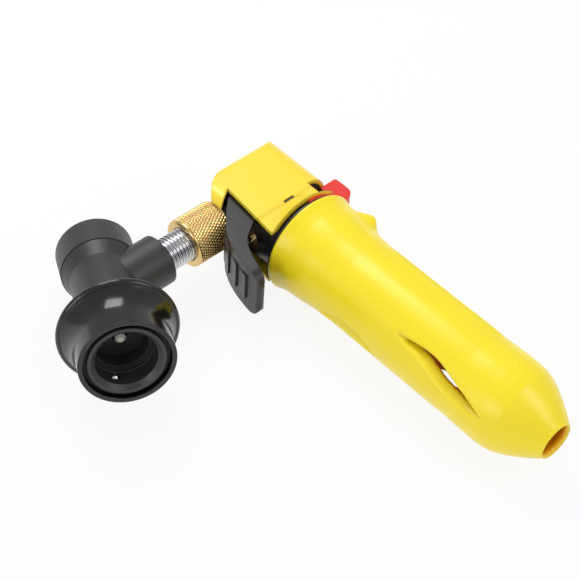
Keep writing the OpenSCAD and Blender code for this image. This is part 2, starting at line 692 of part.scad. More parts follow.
module swivel_nut() color("#d8b774") placed() along_outlet() difference() {
    union() {
        cone(nut_start, nut_start + nut_bevel, nut_r - nut_bevel, nut_r);
        bore(nut_start + nut_bevel, nut_end - nut_bevel, nut_r);
        cone(nut_end - nut_bevel, nut_end, nut_r, nut_r - nut_bevel);
    }
    bore(nut_start - over, nut_end, shank_r + gap);
    bore(nut_start + nut_shoulder, nut_end + over, thread_r + fit);
}
stud_end = arm_start + stud_grip;
module flare_stud() color("#cfd2d5") placed() along_outlet() difference() {
    union() {
        cone(nose_s + 2 * passage_r, nose_s + nose_r, 2 * passage_r, nose_r);
        bore(nose_s + nose_r, seat_s + seat_t + nut_shoulder, nose_r);
        bore(seat_s + seat_t + nut_shoulder, arm_start - fit, thread_r);
        bore(arm_start - skin, stud_end, stud_shank_r);
    }
    bore(seat_s, stud_end + over, nozzle_passage_r);
}

// Disconnect
floor_s = mouth_s - socket_len - seal_bore_len;     // floor of the socket
collar_top = mouth_s + free + gap - collar_len;     // top of the collar at rest
shelf_s = collar_top + free;                        // top of the spring shelf
shelf_t = 1.2;
shelf_r = pocket_r - free;
crown_s = cap_s - gap;                              // top of the cone
crown_len = 5;
swell_s = shelf_s - swell_len;                      // where the neck starts to widen
clip_s = mouth_s - clip_t * 2;
clip_r = skirt_r - clip_depth;                      // bottom of the ring's groove
ball_s = mouth_s - ball_depth;
ball_mid_r = skirt_r + slip / 2 - ball_r;
ball_turn = [-27, 93, 213];
module disconnect_body() color("#3f4041") placed() difference() {
    union() {
        along_socket() rotate_extrude() polygon([[0, -crown_s], [crown_r, -crown_s],
            [body_r, -crown_s + crown_len], [body_r, swell_s], [skirt_r, shelf_s - gap],
            [skirt_r, mouth_s], [0, mouth_s]]);
        along_socket() bore(shelf_s, shelf_s + shelf_t, shelf_r);
        along_outlet() bore(arm_start, cross_t, arm_r);
    }
    along_outlet() {
        bore(arm_start - over, stud_end + free, stud_shank_r + fit);
        bore(stud_end, cross_t, arm_passage_r);
    }
    along_socket() {
        // room round the cap, which also clips the arm
        bore(-cap_end - over, -crown_s, cap_r + gap);
        bore(-crown_s - over, floor_s - floor_t, chamber_r);
        bore(0, mouth_s, orifice_r);
        bore(floor_s, mouth_s, seal_bore_r);
        bore(floor_s + seal_bore_len, mouth_s + over, socket_r);
        cone(mouth_s - mouth_bevel, mouth_s + fit, socket_r, socket_r + mouth_bevel + fit);
        tube(clip_s, clip_s + clip_t, pocket_r, clip_r);
        bore(ball_s - ball_r - free, ball_s + ball_r + free, socket_r + ball_track);
        for (a = ball_turn) rotate([0, 0, a]) translate([0, 0, ball_s]) rotate([0, 90, 0])
            bore(socket_r - over, skirt_r + over, ball_r + slip);
    }
}
plug_s = cap_s - plug_len;                          // end of the plug
module disconnect_cap() color("#3c3d3f") placed() along_socket() difference() {
    union() {
        bore(-cap_end + cap_edge_r, -cap_s, cap_r);
        bore(-cap_end, -cap_s, cap_r - cap_edge_r);
        o_ring(-cap_end + cap_edge_r, cap_r - cap_edge_r, cap_edge_r);
        bore(-cap_s - skin, -plug_s, chamber_r - slip);
    }
    tube(-cap_s - washer_t, -cap_s + over, body_r - free, chamber_r + skin);
    bore(-plug_s - skin, over, poppet_stem_r + slip);
}
module cap_seal() color("#202020") placed() along_socket()
    tube(-cap_s - washer_t + fit, -crown_s - fit, body_r - free - fit, chamber_r + skin + fit);

// Poppet
seal_s = floor_s - floor_t;                         // seat of the poppet
head_s = seal_s - washer_t - slip;                  // front of the poppet's head
module poppet() color("#e8e4da") placed() along_socket() {
    bore(head_s - poppet_t, floor_s + poppet_reach - poppet_stem_r / 2, poppet_stem_r);
    cone(floor_s + poppet_reach - poppet_stem_r / 2, floor_s + poppet_reach,
        poppet_stem_r, poppet_stem_r / 2);
    bore(head_s - poppet_t, head_s, poppet_r);
}
module poppet_seal() color("#202020") placed() along_socket()
    tube(head_s, seal_s - slip, poppet_r, poppet_stem_r);
poppet_coil = coil(-plug_s, head_s - poppet_t, (poppet_stem_r + chamber_r) / 2 - gap, fine_wire, 8);
module poppet_spring() color("#b9bcc0") placed() along_socket()
    wound(poppet_coil, fine_wire);

// Locking collar
collar_end = collar_top + collar_len;
land_s = ball_s - ball_r * 1.05;               // floor of the spring pocket
ramp_s = ball_s - free;                        // start of the cam ramp
ramp_slope = 0.25;
clip_out_r = skirt_r + clip_h;
ramp_end = clip_s - gap;
module locking_collar() color("#1d1d1f") placed() along_socket() difference() {
    rotate_extrude() difference() {
        union() {
            translate([0, collar_top]) square([collar_mouth_r, collar_len]);
            translate([0, collar_top]) square([collar_r - collar_rim_t / 2, collar_rim_t]);
            translate([collar_r - collar_rim_t / 2, collar_top + collar_rim_t / 2]) circle(collar_rim_t / 2);
            // hollow sweep from the flange to the mouth
            difference() {
                translate([0, collar_top + collar_rim_t]) square([collar_r - collar_rim_t / 2, spool_len]);
                translate([collar_mouth_r + spool_r, collar_top + collar_rim_t + spool_len])
                    circle(spool_r, $fn = 180);
            }
        }
    }
    bore(collar_top - over, land_s, pocket_r);
    bore(land_s - over, collar_end, skirt_r + slip);
    cone(ramp_s, ramp_end, skirt_r + slip, skirt_r + slip + ramp_slope * (ramp_end - ramp_s));
    bore(ramp_end, collar_end + over, clip_out_r + gap);
}
spool_len = collar_len * 0.45;
spool_r = sweep_r(spool_len, collar_r - collar_rim_t / 2 - collar_mouth_r);
collar_coil = coil(shelf_s + shelf_t, land_s, pocket_r - collar_wire / 2 - spring_play, collar_wire, 4);
module collar_spring() color("#b9bcc0") placed() along_socket()
    wound(collar_coil, collar_wire);
module retaining_ring() color("#b9bcc0") placed() along_socket()
    tube(clip_s + fit, clip_s + clip_t - fit, clip_out_r, clip_r + fit);
module lock_ball(i) color("#c4c7ca") placed() along_socket() rotate([0, 0, ball_turn[i]])
    translate([ball_mid_r, 0, ball_s]) sphere(ball_r);
module lock_ball_a() lock_ball(0);
module lock_ball_b() lock_ball(1);
module lock_ball_c() lock_ball(2);
echo(least_gap_of_springs = [least_gap(valve_coil, fine_wire), least_gap(poppet_coil, fine_wire),
    least_gap(collar_coil, collar_wire)]);

// Place of the part's box: ends of the cup, the cap, the collar's mouth and the thumb tab
socket_x = cos(socket_tilt) * cos(socket_roll);
socket_y = sin(socket_tilt);
cap_end = cap_s + cap_h;
edge_x = sqrt(1 - socket_x * socket_x);
box_x1 = rim_x + cup_len;
box_x0 = -(cap_end - cap_edge_r) * socket_x - (cap_r - cap_edge_r) * edge_x - cap_edge_r;
box_y0 = -cross_t - (collar_top + collar_len) * socket_y - collar_mouth_r * cos(socket_tilt);
box_y1 = tab_reach;
module placed() translate([-(box_x0 + box_x1) / 2, -(box_y0 + box_y1) / 2, cup_rim_r]) children();

head_cover();
head_core();
trigger();
trigger_pin();
safety_latch();
valve_body();
valve_stem();
valve_seal();
stem_ring();
valve_spring();
valve_gland();
pierce_needle();
cartridge_seal();
outlet_nozzle();
flare_washer();
swivel_nut();
cartridge_cup();
flare_stud();
disconnect_body();
disconnect_cap();
cap_seal();
poppet();
poppet_seal();
poppet_spring();
locking_collar();
collar_spring();
retaining_ring();
lock_ball_a();
lock_ball_b();
lock_ball_c();
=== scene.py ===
import json
import math

import bmesh
import bpy
import numpy as np
from mathutils import Matrix, Vector


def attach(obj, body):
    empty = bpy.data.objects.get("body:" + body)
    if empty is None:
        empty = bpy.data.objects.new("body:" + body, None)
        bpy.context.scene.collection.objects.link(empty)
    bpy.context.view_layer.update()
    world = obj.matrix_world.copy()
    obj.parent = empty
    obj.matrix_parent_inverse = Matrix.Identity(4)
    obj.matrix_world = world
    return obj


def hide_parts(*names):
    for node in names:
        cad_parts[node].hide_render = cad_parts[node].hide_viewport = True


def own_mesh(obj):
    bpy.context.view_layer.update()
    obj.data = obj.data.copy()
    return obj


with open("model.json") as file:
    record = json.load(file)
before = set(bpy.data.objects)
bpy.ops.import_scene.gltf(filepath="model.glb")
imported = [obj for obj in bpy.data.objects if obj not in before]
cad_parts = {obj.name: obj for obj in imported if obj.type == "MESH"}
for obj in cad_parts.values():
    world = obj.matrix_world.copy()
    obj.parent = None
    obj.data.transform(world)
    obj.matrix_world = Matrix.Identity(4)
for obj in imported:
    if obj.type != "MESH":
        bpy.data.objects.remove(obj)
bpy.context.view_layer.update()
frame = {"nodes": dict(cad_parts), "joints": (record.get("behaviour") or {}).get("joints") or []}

# Camera
# The dispenser lies on a white table and is seen from above its front, near the nozzle's side.
# Places are in mm from the hub, the point where the cup's axis crosses the outlet's axis.
joint_at = {j["name"]: j.get("pos_m") for j in frame["joints"]}
hub = np.array([joint_at["nut_spin"][0], joint_at["latch_turn"][1], joint_at["latch_turn"][2]])
mm = 0.001
eye = np.array([264.842, -256.254, 367.936])
lens_mm, film_mm = 100.5, 36.0
right = np.array([0.67903, 0.7324, 0.05007])
down = np.array([0.56902, -0.48201, -0.66625])
forward = np.array([-0.46383, 0.48089, -0.74405])
camera = bpy.data.objects.new("camera", bpy.data.cameras.new("camera"))
bpy.context.scene.collection.objects.link(camera)
camera.data.lens = lens_mm
camera.data.sensor_width = film_mm
turn = np.eye(4)
turn[:3, 0], turn[:3, 1], turn[:3, 2] = right, -down, -forward
turn[:3, 3] = hub + eye * mm
camera.matrix_world = Matrix(turn.tolist())
bpy.context.scene.camera = camera


# Table and light
# A matt white table, three soft boxes and a white tent, as for a picture on white. The camera sees the
# tent as pure white and the table as nearly so, while the lamps stay at a plain level.
def linear(colour):
    """sRGB hex to linear: c / 12.92 below 0.04045, else ((c + 0.055) / 1.055) to the power 2.4."""
    part = [int(colour[i:i + 2], 16) / 255 for i in (1, 3, 5)]
    return [c / 12.92 if c <= 0.04045 else ((c + 0.055) / 1.055) ** 2.4 for c in part] + [1.0]


def add(tree, kind, sockets=(), **settings):
    """Adds a node, sets its properties, and fills each socket with a value or a link from a socket."""
    node = tree.nodes.new(kind)
    for name, value in settings.items():
        setattr(node, name, value)
    for name, value in dict(sockets).items():
        if isinstance(value, bpy.types.NodeSocket):
            tree.links.new(value, node.inputs[name])
        else:
            node.inputs[name].default_value = value
    return node


def mesh_piece(name, points, faces, material, smooth=True):
    """A mesh object in metres from points in millimetres about the hub: place = hub + point / 1000."""
    mesh = bpy.data.meshes.new(name)
    mesh.from_pydata((hub + np.asarray(points) * mm).tolist(), [], np.asarray(faces).tolist())
    mesh.validate()
    mesh.update()
    mesh.polygons.foreach_set("use_smooth", [smooth] * len(mesh.polygons))
    obj = bpy.data.objects.new(name, mesh)
    bpy.context.scene.collection.objects.link(obj)
    mesh.materials.append(material)
    return obj


# matt paper: a tenth of its own shade is kept in view, so that the object's shadow stays faintly there
white_share, tent_strength = 0.9, 0.57
table_paint = bpy.data.materials.new("table_white_paper")
table_paint.use_nodes = True
tree = table_paint.node_tree
tree.nodes.clear()
seen = add(tree, "ShaderNodeLightPath")
paper = add(tree, "ShaderNodeBsdfDiffuse", {"Color": linear("#F2F2F2")})
plain = add(tree, "ShaderNodeEmission", {"Color": (1, 1, 1, 1), "Strength": 1.0})
mirrored = add(tree, "ShaderNodeMath",
               {0: seen.outputs["Is Camera Ray"], 1: seen.outputs["Is Glossy Ray"]}, operation="MAXIMUM")
blank = add(tree, "ShaderNodeMath", {0: mirrored.outputs[0], 1: white_share}, operation="MULTIPLY")
sheet = add(tree, "ShaderNodeMixShader", {0: blank.outputs[0], 1: paper.outputs[0], 2: plain.outputs[0]})
add(tree, "ShaderNodeOutputMaterial", {"Surface": sheet.outputs[0]})
table_half = 900.0
table_z = -hub[2] / mm
corners = [(-table_half, -table_half, table_z), (table_half, -table_half, table_z),
           (table_half, table_half, table_z), (-table_half, table_half, table_z)]
table = mesh_piece("table", corners, [(0, 1, 2, 3)], table_paint, smooth=False)

world = bpy.data.worlds.new("tent")
bpy.context.scene.world = world
world.use_nodes = True
tree = world.node_tree
tree.nodes.clear()
seen = add(tree, "ShaderNodeLightPath")
tent = add(tree, "ShaderNodeBackground", {"Color": (1, 1, 1, 1), "Strength": tent_strength})
white = add(tree, "ShaderNodeBackground", {"Color": (1, 1, 1, 1), "Strength": 1.0})
view = add(tree, "ShaderNodeMixShader",
           {0: seen.outputs["Is Camera Ray"], 1: tent.outputs[0], 2: white.outputs[0]})
add(tree, "ShaderNodeOutputWorld", {"Surface": view.outputs[0]})


lamp_target = np.array([30, -20, 0])


def soft_box(name, place, size, power):
    """A square lamp of that side in mm and power in watts, turned to face the middle of the object."""
    lamp = bpy.data.objects.new(name, bpy.data.lights.new(name, "AREA"))
    bpy.context.scene.collection.objects.link(lamp)
    lamp.data.shape = "SQUARE"
    lamp.data.size = size * mm
    lamp.data.energy = power
    lamp.location = hub + np.array(place) * mm
    aim = Vector(hub + lamp_target * mm) - lamp.location
    lamp.rotation_euler = aim.to_track_quat("-Z", "Y").to_euler()


soft_box("key_box", (-260, 60, 420), 260, 1.12)
soft_box("fill_box", (330, 120, 330), 200, 0.36)
soft_box("front_box", (60, -520, 240), 240, 0.55)
bpy.context.scene.view_settings.view_transform = "Standard"


# Head cover
# One snap-on shell, injection moulded in ABS from a polished tool, in a warm yellow. It clips over
# the black core by two hooks that show in the small windows beside the flare.
fold_width, fold_height = 1.3, 0.9


def moulded(name, hue, deep, rough, grain=0.9, relief=0.0, edge=0.25, coat=0.0, spread=0.0, inner_shade=None,
            fold=None):
    """Moulded plastic: two close tones by noise about 11 mm across, roughness between 0.85 and 1.2
    times rough, a relief of the given grain and height in mm, and edges rounded by that radius in mm.
    Points whose attribute "inside" is 1 take the colour inner_shade, a painted shade for hollows; fold is a
    station on x, in metres, where the skin's shading steps outwards over fold_width."""
    paint = bpy.data.materials.new(name)
    paint.use_nodes = True
    tree = paint.node_tree
    tree.nodes.clear()
    where = add(tree, "ShaderNodeTexCoord")
    flow = add(tree, "ShaderNodeTexNoise", {"Vector": where.outputs["Object"], "Scale": 90.0, "Detail": 3.0})
    tone = add(tree, "ShaderNodeMix", {0: flow.outputs["Fac"], 6: linear(hue), 7: linear(deep)},
               data_type="RGBA")
    worn = add(tree, "ShaderNodeMapRange", {"Value": flow.outputs["Fac"], "To Min": rough * 0.85,
                                            "To Max": rough * 1.2})
    fine = add(tree, "ShaderNodeTexNoise", {"Vector": where.outputs["Object"], "Scale": 1 / (grain * mm),
                                            "Detail": 2.0})
    soft = add(tree, "ShaderNodeBevel", {"Radius": edge * mm}, samples=4)
    bump = add(tree, "ShaderNodeBump", {"Height": fine.outputs["Fac"], "Strength": 1.0,
                                        "Distance": relief * mm, "Normal": soft.outputs[0]})
    # painted shade: points of the inner skin take the orange shade colour instead of the plastic's own tones
    if inner_shade:
        inside = add(tree, "ShaderNodeAttribute", attribute_name="inside")
        tone = add(tree, "ShaderNodeMix", {0: inside.outputs["Fac"], 6: tone.outputs[2], 7: linear(inner_shade)},
                   data_type="RGBA")
    if fold is not None:
        parts = add(tree, "ShaderNodeSeparateXYZ", {0: where.outputs["Object"]})
        step = add(tree, "ShaderNodeMapRange", {
            "Value": parts.outputs["X"], "From Min": fold - fold_width * mm,
            "From Max": fold + fold_width * mm}, interpolation_type="SMOOTHSTEP")
        bump = add(tree, "ShaderNodeBump", {"Height": step.outputs[0], "Strength": 1.0,
                                            "Distance": fold_height * mm, "Normal": bump.outputs[0]})
    skin = add(tree, "ShaderNodeBsdfPrincipled", {
        "Base Color": tone.outputs[2], "Roughness": worn.outputs[0], "IOR": 1.53,
        "Normal": bump.outputs[0], "Coat Weight": coat, "Coat Roughness": 0.06,
        "Subsurface Weight": spread, "Subsurface Radius": (0.004, 0.003, 0.0008), "Subsurface Scale": 0.5})
    add(tree, "ShaderNodeOutputMaterial", {"Surface": skin.outputs[0]})
    return paint


def dress(node, paint):
    """Gives a carried-over node its finish."""
    mesh = frame["nodes"][node].data
    mesh.materials.clear()
    mesh.materials.append(paint)


# polished ABS: even warm yellow, softly glossy, with faint flow tones; the fold by the lip is shading only
flare_station = 14.6
cover_abs = moulded("abs_warm_yellow_moulded", "#FFE23E", "#FDDB32", 0.26, relief=0.004, edge=0.9,
                    fold=hub[0] + flare_station * mm)
dress("head_cover", cover_abs)

# Head core
# The valve block with its neck, flange and stub, moulded in one piece in glass-filled nylon.
# It carries the cover by two hooks and the cup by its stub.
# glass-filled nylon: near black, satin, slightly rough from the fibres
core_nylon = moulded("nylon_glass_filled_black", "#161617", "#1C1C1E", 0.42, grain=0.5, relief=0.012)
dress("head_core", core_nylon)


# Trigger
# A forked lever moulded in nylon, with three stepped ridges on its finger plate.
# It turns on a steel pin that is pressed through the core.
# unfilled nylon: satin black, a little lighter than the core
trigger_nylon = moulded("nylon_satin_black", "#242426", "#1D1D1F", 0.38, grain=0.6, relief=0.008, edge=0.35)
dress("trigger", trigger_nylon)


def metal(name, hue, deep, rough, scratch, edge=0.15):
    """Metal: two close tones, and roughness between 0.8 and 1.3 times rough, by noise about scratch mm
    across; edges are rounded by that radius in mm."""
    paint = bpy.data.materials.new(name)
    paint.use_nodes = True
    tree = paint.node_tree
    tree.nodes.clear()
    where = add(tree, "ShaderNodeTexCoord")
    haze = add(tree, "ShaderNodeTexNoise", {"Vector": where.outputs["Object"], "Scale": 1 / (scratch * mm),
                                            "Detail": 4.0})
    tone = add(tree, "ShaderNodeMix", {0: haze.outputs["Fac"], 6: linear(hue), 7: linear(deep)},
               data_type="RGBA")
    worn = add(tree, "ShaderNodeMapRange", {"Value": haze.outputs["Fac"], "To Min": rough * 0.8,
                                            "To Max": rough * 1.3})
    soft = add(tree, "ShaderNodeBevel", {"Radius": edge * mm}, samples=4)
    skin = add(tree, "ShaderNodeBsdfPrincipled", {
        "Base Color": tone.outputs[2], "Roughness": worn.outputs[0], "Metallic": 1.0,
        "Normal": soft.outputs[0]})
    add(tree, "ShaderNodeOutputMaterial", {"Surface": skin.outputs[0]})
    return paint


# turned stainless steel: bright and cool; turned brass: champagne gold, a little softer
stainless = metal("stainless_steel_turned", "#D9DADC", "#C2C4C8", 0.16, 0.8)
brass = metal("brass_turned", "#E8CC94", "#DDBB78", 0.22, 0.9)
dress("trigger_pin", stainless)

# Valve
# Turned brass sleeve and gland, a stainless stem with its rubber seal, and the return spring.
# All sit in the core's cross bore behind the trigger.
# nitrile rubber: dull black with a fine pitted skin
rubber = moulded("nitrile_rubber_black", "#151516", "#1B1B1C", 0.6, grain=0.3, relief=0.01)
dress("valve_body", brass)
dress("valve_gland", brass)
dress("valve_stem", stainless)
dress("valve_seal", rubber)
dress("stem_ring", rubber)


rings_per_turn, wire_sides = 40, 12


def coil_piece(name, start, end, axis, radius, wire, turns, node, paint):
    """A compression spring: a circle of the wire's radius carried along the helix
    start + axis * rise(t) + radius * (cos, sin)(turns * t), with the same pitch from end to end."""
    axis = np.array(axis) / np.linalg.norm(axis)
    side = np.cross(axis, [0.0, 0.0, 1.0])
    side /= np.linalg.norm(side)
    other = np.cross(axis, side)
    length = np.linalg.norm(np.array(end) - np.array(start)) - wire
    rings, spokes = int(turns * rings_per_turn), wire_sides
    t = np.linspace(0, 1, rings)
    a = 2 * math.pi * turns * t
    rise = wire / 2 + length * t
    out = np.outer(np.cos(a), side) + np.outer(np.sin(a), other)
    line = np.array(start) + np.outer(rise, axis) + radius * out
    b = np.linspace(0, 2 * math.pi, spokes, endpoint=False)
    points = line[:, None] + wire / 2 * (np.cos(b)[None, :, None] * out[:, None]
                                         + np.sin(b)[None, :, None] * axis)
    points = points.reshape(-1, 3)
    i, k = np.meshgrid(np.arange(rings - 1), np.arange(spokes), indexing="ij")
    n = (k + 1) % spokes
    faces = np.stack([i * spokes + k, (i + 1) * spokes + k,
                      (i + 1) * spokes + n, i * spokes + n], -1).reshape(-1, 4)
    piece = mesh_piece(name, points, faces, paint)
    ends = [list(range(spokes)), [(rings - 1) * spokes + s for s in range(spokes)]]
    close_up(piece, ends)
    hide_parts(node)
    return piece


def close_up(piece, rings):
    """Closes open rings with flat faces and turns every face outwards."""
    work = bmesh.new()
    work.from_mesh(piece.data)
    work.verts.ensure_lookup_table()
    for ring in rings:
        work.faces.new([work.verts[r] for r in ring])
    bmesh.ops.recalc_face_normals(work, faces=work.faces)
    work.to_mesh(piece.data)
    work.free()
    piece.data.polygons.foreach_set("use_smooth", [True] * len(piece.data.polygons))
    piece.data.update()


# drawn spring steel: grey, evenly bright
spring_steel = metal("spring_steel_drawn", "#B9BCC0", "#A4A7AB", 0.24, 0.5)
outlet = np.array([0.0, -1.0, 0.0])
valve_x, valve_spring_foot, valve_spring_head = 11.0, 11.4, 1.9
valve_coil_r, valve_wire, valve_turns, valve_keep = 2.8, 0.6, 5, 0.72
valve_foot = np.array([valve_x, valve_spring_foot, 0])
piece = coil_piece("valve_return_spring", valve_foot, (valve_x, valve_spring_head, 0), outlet, valve_coil_r,
                   valve_wire, valve_turns, "valve_spring", spring_steel)
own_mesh(piece)
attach(piece, "head")

# Safety latch
# A C-shaped ring with a thumb tab, moulded in red acetal, caught between cover and flange.
# acetal: strong red, waxy gloss
latch_acetal = moulded("acetal_red_moulded", "#F2382F", "#E83028", 0.3, relief=0.004, edge=0.5)
dress("safety_latch", latch_acetal)

# Needle and cartridge seal
# The hollow stainless needle that opens the cartridge, and the rubber washer round its foot.
dress("pierce_needle", stainless)
dress("cartridge_seal", rubber)

# Cartridge cup
# A screw-on cup, injection moulded in polypropylene, with an open nose. Scooped openings in its side
# show whether a cartridge is in it; each has a thin lip and a floor that ramps down to it.
cup_x, cup_wall, tip_u = 24.0, 1.8, 103.2
# stations from the rim, and the outer radius there
cup_u = [0, 0.12, 0.45, 0.9, 2, 3, 6, 9, 12, 15, 18, 21, 24,
         45, 66, 72, 78, 84, 87, 90, 93, 96, 99.6, 102.2, 103, 103.2]
cup_r = [16.56, 17.05, 17.36, 17.46, 17.1, 16.7, 16.2, 16.0, 15.7, 15.3, 15.0, 14.85, 14.7,
         14.7, 14.7, 14.55, 14.8, 14.8, 14.6, 13.9, 12.55, 10.9, 8.6, 6.75, 6.2, 5.95]
degree_mm = 0.257                                    # one degree on the grip, in mm
floor_depth, floor_slope, lip_width = 2.2, 0.85, 2.2
edge_mm, edge_lean = 0.75, 0.35                      # reach of an opening's round edge, and its lean
thread_bore, thread_len, cup_pitch, cup_thread = 14.3, 12, 2.2, 0.45
wall_from, nose_hole_r = 16, 5.25
thumb_u, thumb_angle, thumb_height, thumb_half = 12.5, 58, 3.1, 9
far_away, search = 99.0, 6


def curve(x, xs, ys):
    """A smooth line through knots: cubic Hermite pieces whose slopes are those of the neighbours."""
    xs, ys = np.asarray(xs, float), np.asarray(ys, float)
    slope = np.gradient(ys, xs)
    i = np.clip(np.searchsorted(xs, x) - 1, 0, len(xs) - 2)
    w = xs[i + 1] - xs[i]
    t = np.clip((x - xs[i]) / w, 0, 1)
    return ((2 * t ** 3 - 3 * t ** 2 + 1) * ys[i] + (t ** 3 - 2 * t ** 2 + t) * w * slope[i]
            + (3 * t ** 2 - 2 * t ** 3) * ys[i + 1] + (t ** 3 - t ** 2) * w * slope[i + 1])


# Each scoop: stations along the cup, then the angles of its lip, of the floor's low edge and of the
# floor's outer line; the angle is turned by the last two values: sign, and shift in degrees.
front_scoop = [[50, 54, 58, 62, 66, 70, 74, 78, 82, 85], [52, 50, 47.7, 46.8, 48, 52.5, 57, 61, 66, 70],
               [52, 51, 50.5, 52.5, 58.5, 64.5, 67, 68.5, 68.5, 70],
               [53, 59.5, 61.5, 65.5, 71, 75.5, 78, 78.8, 76.5, 70.5], 1, 0]
side_scoop = [[20, 23, 27, 31, 35, 39, 42, 44], [112, 103, 96, 90.5, 90.5, 94.5, 102, 110],
              [112, 106, 101, 98.5, 99, 101, 105, 110], [113, 124, 126, 124, 120, 117, 114, 110.5], 1, 0]
far_scoop = [[27, 31, 38, 46, 54, 62, 68, 72], [40, 33, 31, 30.5, 31, 32, 35, 42],
             [40, 37, 41, 44, 44, 42, 40, 42], [41, 50, 56, 58, 58, 55, 50, 42.5], -1, 0]
under_scoop = [[u - 6.2 for u in front_scoop[0]]] + front_scoop[1:4] + [1, 224]
scoops = [(front_scoop, 0.2), (side_scoop, 0.25), (far_scoop, 0.6), (under_scoop, 0.2)]


def turned(theta, scoop):
    """The angle as the scoop counts it: sign * angle + shift, between -90 and 270 degrees."""
    return (scoop[4] * theta + scoop[5] + 90) % 360 - 90


def hole_distance(u, theta):
    """Signed distance in mm to the nearest opening's edge on the unrolled cup, positive in the wall:
    least distance to the edge line's segments, negative where a ray crosses the line an odd number of
    times. Beyond the search width it is far_away."""
    best = np.full(u.shape, far_away)
    for scoop, _ in scoops:
        v = np.linspace(scoop[0][0], scoop[0][-1], 44)
        line = np.concatenate([np.stack([v, curve(v, scoop[0], scoop[1]) * degree_mm], 1),
                               np.stack([v, curve(v, scoop[0], scoop[2]) * degree_mm], 1)[::-1][1:-1]])
        px, py = u, turned(theta, scoop) * degree_mm
        near = ((px > v[0] - search) & (px < v[-1] + search)
                & (py > line[:, 1].min() - search) & (py < line[:, 1].max() + search))
        p = np.stack([px[near], py[near]], 1)[:, None]
        a, b = line[None], np.roll(line, -1, 0)[None]
        t = np.clip(((p - a) * (b - a)).sum(-1) / np.maximum(((b - a) ** 2).sum(-1), 1e-12), 0, 1)
        gap = np.sqrt(((p - a - t[..., None] * (b - a)) ** 2).sum(-1)).min(1)
        between = (a[..., 1] > p[..., 1]) != (b[..., 1] > p[..., 1])
        rise = np.where(b[..., 1] == a[..., 1], 1.0, b[..., 1] - a[..., 1])
        cross = a[..., 0] + (p[..., 1] - a[..., 1]) / rise * (b[..., 0] - a[..., 0])
        inside = (between & (p[..., 0] < cross)).sum(1) % 2 == 1
        value = np.full(u.shape, far_away)
        value[near] = np.where(inside, -gap, gap)
        best = np.minimum(best, value)
    return best


def cup_relief(u, theta):
    """Height in mm added to the smooth cup: each floor sinks from its outer line to its low edge by a
    half cosine, each lip stands a little proud, and one flared thumb lip rises near the rim."""
    height = np.zeros(u.shape)
    for scoop, proud in scoops:
        v = np.clip(u, scoop[0][0], scoop[0][-1])
        phi = turned(theta, scoop)
        lip, low, line = (curve(v, scoop[0], scoop[k]) for k in (1, 2, 3))
        width = np.maximum(line - low, 0.5)
        q = np.clip((line - phi) / width, 0, 1)
        here = (u >= scoop[0][0]) & (u <= scoop[0][-1]) & (phi > (lip + low) / 2) & (phi < line)
        deepest = np.minimum(floor_depth, floor_slope * width * degree_mm)
        height -= here * deepest * (0.5 - 0.5 * np.cos(math.pi * q))
        end = np.clip((u - scoop[0][0] + 2) / 5, 0, 1) * np.clip((scoop[0][-1] + 2 - u) / 5, 0, 1)
        away = np.minimum(phi - lip, 0) * degree_mm / lip_width
        height += proud * end * np.exp(-away ** 2) * (phi <= (lip + low) / 2)
    side = (theta + thumb_angle + 180) % 360 - 180
    along_cup = (u - thumb_u) / np.where(u < thumb_u, 4.6, 3.0)
    height += thumb_height * np.exp(-along_cup ** 2) * np.exp(-(side / thumb_half) ** 2)
    return height


def cup_point(u, theta, h, inner):
    """A point of the cup's skin. The outer skin is the profile with its relief; the inner one lies a
    wall below it along the profile's normal, and near the rim it is a bore with a thread of rounded
    grooves; near an opening both close in a round edge."""
    radius = np.interp(u, cup_u, cup_r)
    slope = (np.interp(u + 0.4, cup_u, cup_r) - np.interp(u - 0.4, cup_u, cup_r)) / (
        np.minimum(u + 0.4, tip_u) - np.maximum(u - 0.4, 0))
    slope = np.where(u < 6, 0, slope)
    n_r = 1 / np.sqrt(1 + slope ** 2)
    n_u = -slope * n_r
    full = np.sqrt(1 - (1 - np.clip(h / edge_mm, 0, 1)) ** 2)
    proud = cup_relief(u, theta)
    drop = (1 - full) * edge_lean * cup_wall + inner * (cup_wall * full)
    station = u - drop * n_u
    r = radius + proud - drop * n_r
    if inner:
        turns = np.cos(2 * math.pi * (u / cup_pitch - theta / 360)) + 0.2
        ends = np.clip((u - 1) / 0.6, 0, 1) * np.clip((thread_len - 0.5 - u) / 0.6, 0, 1)
        bore = thread_bore + cup_thread * np.clip(turns, 0, 1) * ends
        fade = np.clip((u - thread_len) / (wall_from - thread_len), 0, 1)
        r = np.where(u < wall_from, (1 - fade) * bore + fade * np.minimum(r, thread_bore), r)
        r = np.maximum(r, nose_hole_r)
    a = np.radians(theta)
    return np.stack([cup_x + station, -r * np.sin(a), r * np.cos(a)], -1)


